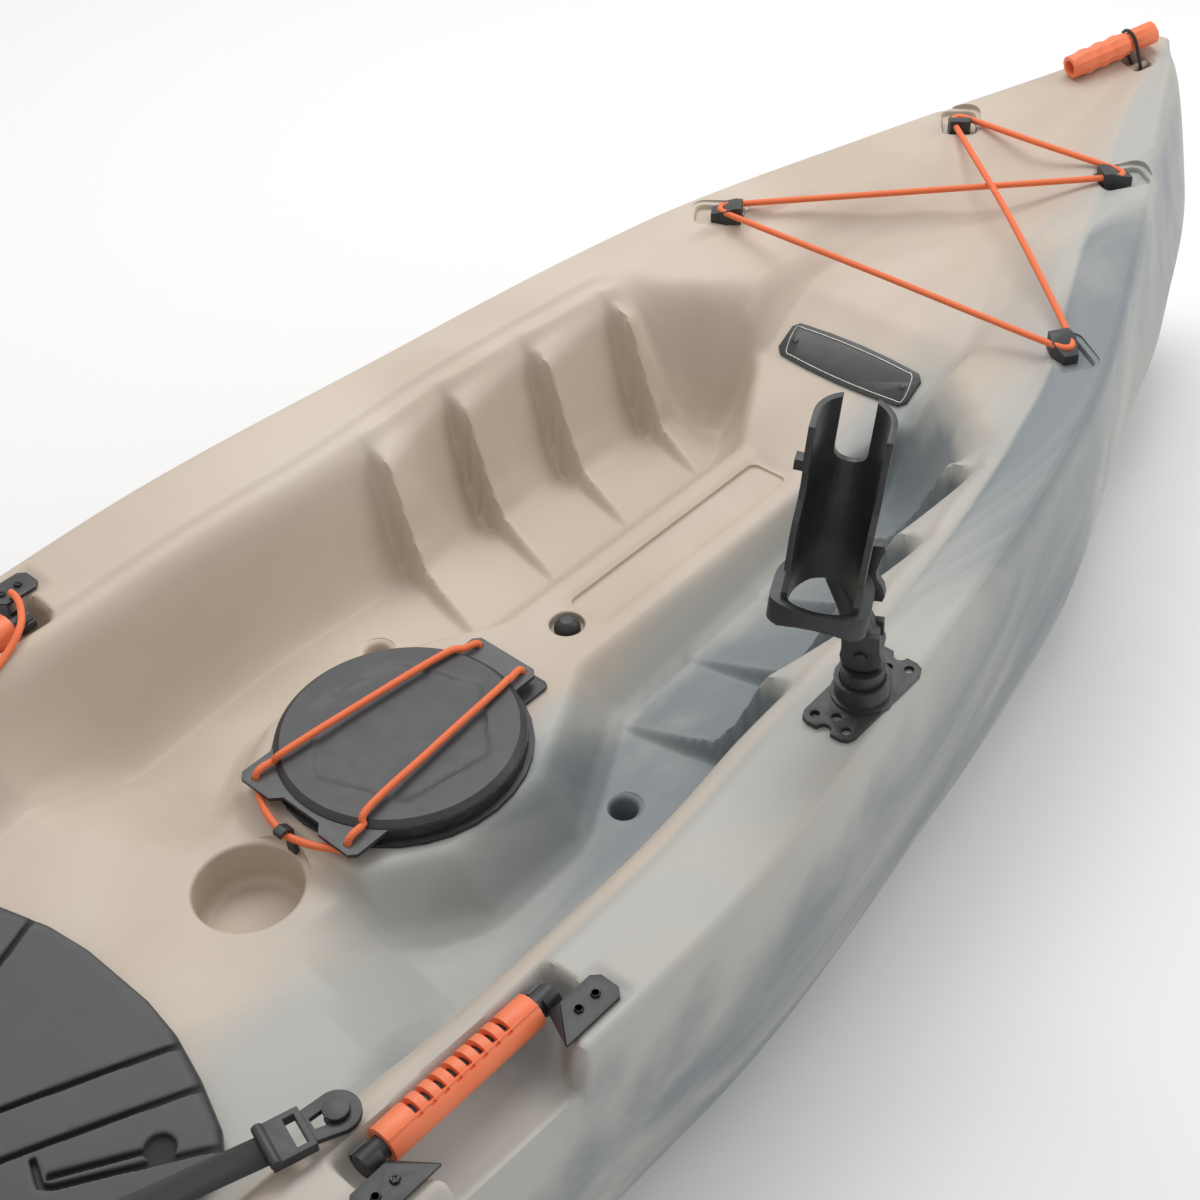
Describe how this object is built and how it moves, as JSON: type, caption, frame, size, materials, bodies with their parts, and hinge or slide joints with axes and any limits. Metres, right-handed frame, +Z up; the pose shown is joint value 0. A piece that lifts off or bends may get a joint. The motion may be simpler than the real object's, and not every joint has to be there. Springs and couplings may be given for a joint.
{
  "type": "fishing kayak",
  "caption": "Sit-on-top fishing kayak: hollow moulded hull with deck wells, hinged hatch, tilting rod holder, folding padded seat, laced bungees and carry handles.",
  "frame": {"origin": "under mid-length on the centre plane, on the flat of the hull bottom", "axes": "+X towards the bow, +Y to port, +Z up"},
  "size_m": [3.048, 0.7976, 0.5962],
  "materials": {
    "hull_plastic": "roto-moulded polyethylene, swirled tan and blue-grey, soft matt",
    "black_plastic": "moulded black nylon, satin",
    "grey_plastic": "moulded dark grey plastic, fine grain",
    "gasket_rubber": "soft black seal",
    "orange_cord": "braided shock cord",
    "orange_rubber": "moulded orange grip, satin",
    "seat_foam": "pressed foam with a fabric face, matt",
    "webbing": "woven black strap",
    "screw_steel": "blackened steel"
  },
  "bodies": {
    "hull_body": {"bow_bungee": "orange_cord", "bow_padeye_port_aft": "black_plastic", "bow_padeye_port_fore": "black_plastic", "bow_padeye_star_aft": "black_plastic", "bow_padeye_star_fore": "black_plastic", "console_plate": "grey_plastic", "hatch_frame": "black_plastic", "hatch_gasket": "gasket_rubber", "hatch_hook": "black_plastic", "hull": "hull_plastic", "paddle_cord": "orange_cord", "paddle_hook": "black_plastic", "port_handle_plate_aft": "black_plastic", "port_handle_plate_fore": "black_plastic", "port_handle_screw_aft_1": "screw_steel", "port_handle_screw_aft_2": "screw_steel", "port_handle_screw_fore_1": "screw_steel", "port_handle_screw_fore_2": "screw_steel", "port_rod_tube": "black_plastic", "port_strap_buckle": "black_plastic", "port_strap_front": "webbing", "port_strap_pin": "black_plastic", "port_strap_rear": "webbing", "port_strap_rear_pin": "black_plastic", "rod_mount_base": "black_plastic", "seat_pad": "seat_foam", "star_handle_plate_aft": "black_plastic", "star_handle_plate_fore": "black_plastic", "star_handle_screw_aft_1": "screw_steel", "star_handle_screw_aft_2": "screw_steel", "star_handle_screw_fore_1": "screw_steel", "star_handle_screw_fore_2": "screw_steel", "star_rod_tube": "black_plastic", "star_strap_buckle": "black_plastic", "star_strap_front": "webbing", "star_strap_pin": "black_plastic", "star_strap_rear": "webbing", "star_strap_rear_pin": "black_plastic", "tank_bungee": "orange_cord", "tank_padeye_port_aft": "black_plastic", "tank_padeye_port_fore": "black_plastic", "tank_padeye_star_aft": "black_plastic", "tank_padeye_star_fore": "black_plastic"},
    "hatch_lid_body": {"hatch_lid": "grey_plastic", "hatch_bungee": "orange_cord"},
    "console_plug_body": {"console_plug": "black_plastic"},
    "drain_plug_body": {"stern_drain_plug": "black_plastic"},
    "rod_post_body": {"rod_post": "black_plastic"},
    "rod_head_body": {"rod_tilt_head": "black_plastic", "rod_cradle": "black_plastic"},
    "rod_lever_body": {"rod_lock_lever": "black_plastic"},
    "port_handle_body": {"port_handle_bar": "black_plastic", "port_handle_grip": "orange_rubber"},
    "star_handle_body": {"star_handle_bar": "black_plastic", "star_handle_grip": "orange_rubber"},
    "bow_grip_body": {"bow_grip": "orange_rubber", "bow_grip_cord": "webbing"},
    "stern_grip_body": {"stern_grip": "orange_rubber", "stern_grip_cord": "webbing"},
    "seat_back_body": {"seat_back": "seat_foam"}
  },
  "joints": [
    {"name": "hatch_hinge", "type": "hinge", "parent": "hull_body", "child": "hatch_lid_body", "pos_m": [0.3844, 0, 0.2028], "axis": [0, 1, 0], "range_deg": [0, 105]},
    {"name": "console_plug_pull", "type": "slide", "parent": "hull_body", "child": "console_plug_body", "axis": [0, 0, 1], "range_m": [0, 0.035]},
    {"name": "drain_plug_pull", "type": "slide", "parent": "hull_body", "child": "drain_plug_body", "axis": [0, 0, 1], "range_m": [0, 0.03]},
    {"name": "rod_swivel", "type": "hinge", "parent": "hull_body", "child": "rod_post_body", "pos_m": [0.47808, -0.335, 0.2864], "axis": [-0.059, 0, 0.9983], "continuous": true},
    {"name": "rod_tilt", "type": "hinge", "parent": "rod_post_body", "child": "rod_head_body", "pos_m": [0.47452, -0.335, 0.34659], "axis": [-0.8895, -0.454, -0.0526], "range_deg": [-60, 45]},
    {"name": "rod_lock", "type": "hinge", "parent": "rod_head_body", "child": "rod_lever_body", "pos_m": [0.49739, -0.32546, 0.38902], "axis": [-0.8895, -0.454, -0.0526], "range_deg": [-35, 0]},
    {"name": "port_handle_turn", "type": "hinge", "parent": "hull_body", "child": "port_handle_body", "pos_m": [0.004, 0.33, 0.262], "axis": [1, 0, 0], "continuous": true},
    {"name": "star_handle_turn", "type": "hinge", "parent": "hull_body", "child": "star_handle_body", "pos_m": [0.004, -0.33, 0.262], "axis": [1, 0, 0], "continuous": true},
    {"name": "bow_grip_lift", "type": "hinge", "parent": "hull_body", "child": "bow_grip_body", "pos_m": [1.46723, 0, 0.36449], "axis": [0.9081, -0.3907, 0.1506], "range_deg": [0, 45]},
    {"name": "stern_grip_lift", "type": "hinge", "parent": "hull_body", "child": "stern_grip_body", "pos_m": [-1.46668, 0, 0.29211], "axis": [-0.9172, 0.3907, 0.0779], "range_deg": [0, 45]},
    {"name": "seat_back_fold", "type": "hinge", "parent": "hull_body", "child": "seat_back_body", "pos_m": [-0.405, 0, 0.19], "axis": [0, 1, 0], "range_deg": [0, 76], "deforming": ["port_strap_front", "port_strap_rear", "star_strap_front", "star_strap_rear"]}
  ]
}
